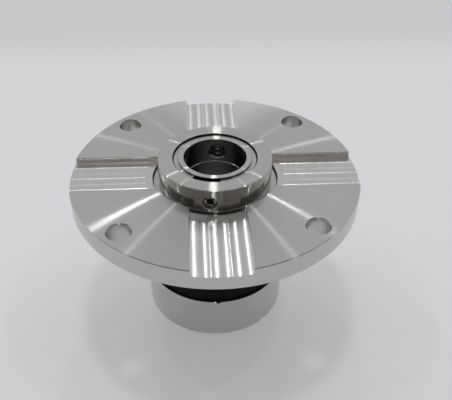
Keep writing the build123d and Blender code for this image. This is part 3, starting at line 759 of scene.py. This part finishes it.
FACE_BORE_R = 22.3
FACE_R = 40.6
FACE_BACK = -60.0
FACE_FRONT = -43.5
FACE_EDGE = 0.2
FACE_FRONT_EDGE = 0.3
NOSE_IN_R = 27.5
NOSE_OUT_R = 34.0
NOSE_TOP = -42.0
FACE_GROOVE = (24.87, -52.8, -56.2)     # floor radius, upper and lower wall
DRIVE_HOLE_R = 2.3
DRIVE_HOLE_TOP = -54.5


def upright_drill(radius, low, high, azimuths):
    """Drills parallel to the shaft, on the drive circle."""
    drill = turn("upright_drill", [(0, low), (radius, low), (radius, high), (0, high)], PIN_STEPS)
    drill.location = (DRIVE_CIRCLE_R * MM, 0, 0)
    return round_axis(settle(drill), azimuths)


def spring_holder():
    """Bright shell at the inboard end, with pockets for the springs, pin holes and three notches."""
    piece = turn("spring_holder", [
        (SLEEVE_BODY_R + SLIP, HOLDER_FLOOR), (SLEEVE_BODY_R + SLIP, FOOT_TOP), (FOOT_R + SLIP, FOOT_TOP),
        (FOOT_R + SLIP, HOLDER_BOTTOM), (HOLDER_R - EDGE, HOLDER_BOTTOM), (HOLDER_R, HOLDER_BOTTOM + EDGE),
        (HOLDER_R, HOLDER_TOP - HOLDER_LIP_EDGE), (HOLDER_R - HOLDER_LIP_EDGE, HOLDER_TOP),
        (HOLDER_BORE_R + HOLDER_LIP_EDGE, HOLDER_TOP), (HOLDER_BORE_R, HOLDER_TOP - HOLDER_LIP_EDGE),
        (HOLDER_BORE_R, HOLDER_FLOOR),
    ])
    above = HOLDER_FLOOR + OVER
    cut(piece, upright_drill(POCKET_R, POCKET_BOTTOM, above, SPRING_AZIMUTHS))
    cut(piece, upright_drill(PIN_HOLE_R, PIN_BOTTOM, above, DRIVE_AZIMUTHS))
    inside, low, high = HOLDER_BORE_R - OVER, HOLDER_TOP - NOTCH_DEPTH, HOLDER_TOP + OVER
    notch = prism("notch", [
        (inside, -NOTCH_HALF, low), (inside, NOTCH_HALF, low), (inside, NOTCH_HALF, high),
        (inside, -NOTCH_HALF, high),
    ], (HOLDER_R + OVER - inside, 0, 0))
    cut(piece, round_axis(notch, DRIVE_AZIMUTHS))
    finish(piece, "rotor", "shell_steel", ["spring_holder"], shell_steel)


def face_ring():
    """Carbon ring that floats in the holder and runs on the seat."""
    piece = turn("face_ring", [
        (FACE_BORE_R, FACE_BACK), (FACE_R - FACE_EDGE, FACE_BACK), (FACE_R, FACE_BACK + FACE_EDGE),
        (FACE_R, FACE_FRONT - FACE_FRONT_EDGE), (FACE_R - FACE_FRONT_EDGE, FACE_FRONT),
        (NOSE_OUT_R, FACE_FRONT), (NOSE_OUT_R, NOSE_TOP), (NOSE_IN_R, NOSE_TOP), (NOSE_IN_R, FACE_FRONT),
        (FACE_BORE_R, FACE_FRONT), *groove(FACE_BORE_R, *FACE_GROOVE),
    ])
    cut(piece, upright_drill(DRIVE_HOLE_R, FACE_BACK - OVER, DRIVE_HOLE_TOP, DRIVE_AZIMUTHS))
    finish(piece, "face", "carbon", ["face_ring"], carbon)


def springs():
    """Nine coil springs in the holder's pockets, under the face ring."""
    low, high, wire, coil_r, turns = POCKET_BOTTOM, -63.0, 0.5, 2.4, 5
    angles = [FULL_TURN * k / WIRE_STEPS for k in range(WIRE_STEPS)]
    section = [(coil_r + wire * math.cos(a), 0, low + wire + wire * math.sin(a)) for a in angles]
    spring = coil("springs", section, (high - low - 2 * wire) / turns, turns, COIL_STEPS)
    spring.location = (DRIVE_CIRCLE_R * MM, 0, 0)
    piece = round_axis(settle(spring), SPRING_AZIMUTHS)
    piece.name = "springs"
    finish(piece, "rotor", "spring_wire", ["springs"], spring_wire)
    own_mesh(piece)


def o_ring(name, body, ring_r, cord_r, z):
    """Round cord that lies in its groove about the shaft."""
    bpy.ops.object.select_all(action="DESELECT")
    bpy.ops.mesh.primitive_torus_add(location=(0, 0, z * MM), major_radius=ring_r * MM,
                                     minor_radius=cord_r * MM, major_segments=CORD_RING_STEPS,
                                     minor_segments=CORD_STEPS)
    piece = bpy.context.object
    piece.name = name
    settle(piece)
    finish(piece, body, "black_rubber", [name], black_rubber)


gland_plate()
bush_carrier()
drive_collar()
shaft_sleeve()
set_screws()
retaining_ring()
spring_holder()
face_ring()
springs()
o_ring("spigot_o_ring", "gland", 44.0, 1.5, -7.0)
o_ring("seat_o_ring", "gland", 35.53, 1.45, -28.0)
o_ring("face_o_ring", "face", 23.45, 1.4, -54.5)
o_ring("shaft_o_ring", "rotor", 18.52, 1.0, -77.1)

CAD_FINISHES = {
    "throttle_bush": bronze, "seat_ring": silicon_carbide, "seat_gasket": white_ptfe,
    "seat_pins": screw_steel, "drive_pins": screw_steel, "foot_screws": screw_steel,
    "thrust_ring": shell_steel,
}
for name, material in CAD_FINISHES.items():
    mesh = frame["nodes"][name].data
    mesh.materials.clear()
    mesh.materials.append(material)


# ---------------------------------------------------------------------------------------------------
# Room: pale floor, lamps, world and camera
# ---------------------------------------------------------------------------------------------------

BOARD_DARK = (0.78, 0.787, 0.805)
BOARD_LIGHT = (0.8, 0.807, 0.825)
GLOW = (0.95, 0.965, 1, 1)
GLOW_FADE = (0.42, 0.3)     # how far behind the seal the glow is weak, and where it is full, in metres
GLOW_STRENGTH = (0.12, 0.205)

CEILING = 2.3               # height of the lamps over the flange, in metres

ROOM_DARK = (0.12, 0.11, 0.1)
ROOM_LIGHT = (0.56, 0.56, 0.57)
ROOM_SEEN = (0.6, 0.605, 0.62, 1)       # what shows where the floor ends
BACK_FADE = (-0.45, 0.35)   # the room grows light as a way turns back from the viewer
LOW_FADE = (0.58, 0.3)      # and partly light as it sinks
LOW_LIGHT = 0.55


def floor():
    """Pale board that the seal stands on, with a faint glow towards the viewer, weaker far behind."""
    bpy.ops.object.select_all(action="DESELECT")
    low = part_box("spring_holder")[0].z
    bpy.ops.mesh.primitive_plane_add(size=8, location=(0, 0, low))
    board = bpy.context.object
    board.name = "floor"
    settle(board)
    material, tree, shader = new_material("floor_board")
    place = own_place(tree)
    feed(shader, {
        "Base Color": tint(tree, noise(tree, place, 3, 2), BOARD_DARK, BOARD_LIGHT),
        "Roughness": 0.55, "Specular IOR Level": 0.2,
    })
    near = fade(tree, split(tree, place)["Y"], *GLOW_FADE, *GLOW_STRENGTH)
    path = add_node(tree, "ShaderNodeLightPath").outputs
    seen = calc(tree, "MAXIMUM", path["Is Camera Ray"], path["Is Glossy Ray"])
    strength = calc(tree, "MULTIPLY", near, seen)
    glow = add_node(tree, "ShaderNodeEmission", {"Color": GLOW, "Strength": strength})
    both = add_node(tree, "ShaderNodeAddShader", {0: shader.outputs["BSDF"], 1: glow.outputs["Emission"]})
    feed(tree.nodes["Material Output"], {"Surface": both.outputs["Shader"]})
    board.data.materials.append(material)


def lamp(name, azimuth, height, size, power):
    """Square lamp under the ceiling that faces the flange from an azimuth and a height, in degrees."""
    a, e = math.radians(azimuth), math.radians(height)
    way = Vector((math.cos(a) * math.cos(e), math.sin(a) * math.cos(e), math.sin(e)))
    bpy.ops.object.light_add(type="AREA", location=way * CEILING / math.sin(e))
    light = bpy.context.object
    light.name = name
    light.data.size = size
    light.data.energy = power
    light.rotation_mode = "QUATERNION"
    light.rotation_quaternion = way.to_track_quat("Z", "Y")


def world():
    """Light room behind the seal, and a darker one on the viewer's side that is lighter low down."""
    room = bpy.data.worlds.new("room")
    bpy.context.scene.world = room
    room.use_nodes = True
    tree = room.node_tree
    way = split(tree, add_node(tree, "ShaderNodeTexCoord").outputs["Generated"])
    behind = fade(tree, way["Y"], *BACK_FADE)
    low = fade(tree, way["Z"], *LOW_FADE, high=LOW_LIGHT)
    shade = tint(tree, calc(tree, "MAXIMUM", behind, low), ROOM_DARK, ROOM_LIGHT)
    path = add_node(tree, "ShaderNodeLightPath").outputs
    sources = {"Factor": path["Is Camera Ray"], "A": shade, "B": ROOM_SEEN}
    seen = add_node(tree, "ShaderNodeMix", sources, data_type="RGBA")
    feed(tree.nodes["Background"], {"Color": seen.outputs["Result"]})


def camera():
    """Viewer in front of the seal and above it, looking down at about 38 degrees."""
    right = Vector((0.998388, -0.056097, 0.008499))
    up = Vector((0.028133, 0.619548, 0.784454))
    forward = Vector((0.049272, 0.782951, -0.620128))
    place = Vector((-0.01256, -0.30224, 0.2296))
    data = bpy.data.cameras.new("camera")
    data.lens = 51.69
    data.sensor_width = 36
    data.clip_start = 0.01
    eye = bpy.data.objects.new("camera", data)
    bpy.context.scene.collection.objects.link(eye)
    facing = Matrix((right, up, -forward)).transposed()
    eye.matrix_world = Matrix.Translation(place) @ facing.to_4x4()
    bpy.context.scene.camera = eye


floor()
# Each lamp has its azimuth and height in degrees, its size in metres and its power in watts.
lamp("lamp_left", 129, 46, 0.1, 2.8)
lamp("lamp_right", 49, 48, 0.07, 1.35)
lamp("lamp_far_left", 161.6, 58.7, 0.08, 1.7)
lamp("lamp_far_right", 8, 62, 0.08, 1.7)
lamp("lamp_above", 98, 82, 0.24, 5.0)
lamp("lamp_behind", 88, 51, 0.12, 2.2)
lamp("lamp_front", -92, 46, 0.2, 2.4)
world()
camera()
bpy.context.scene.view_settings.view_transform = "Standard"
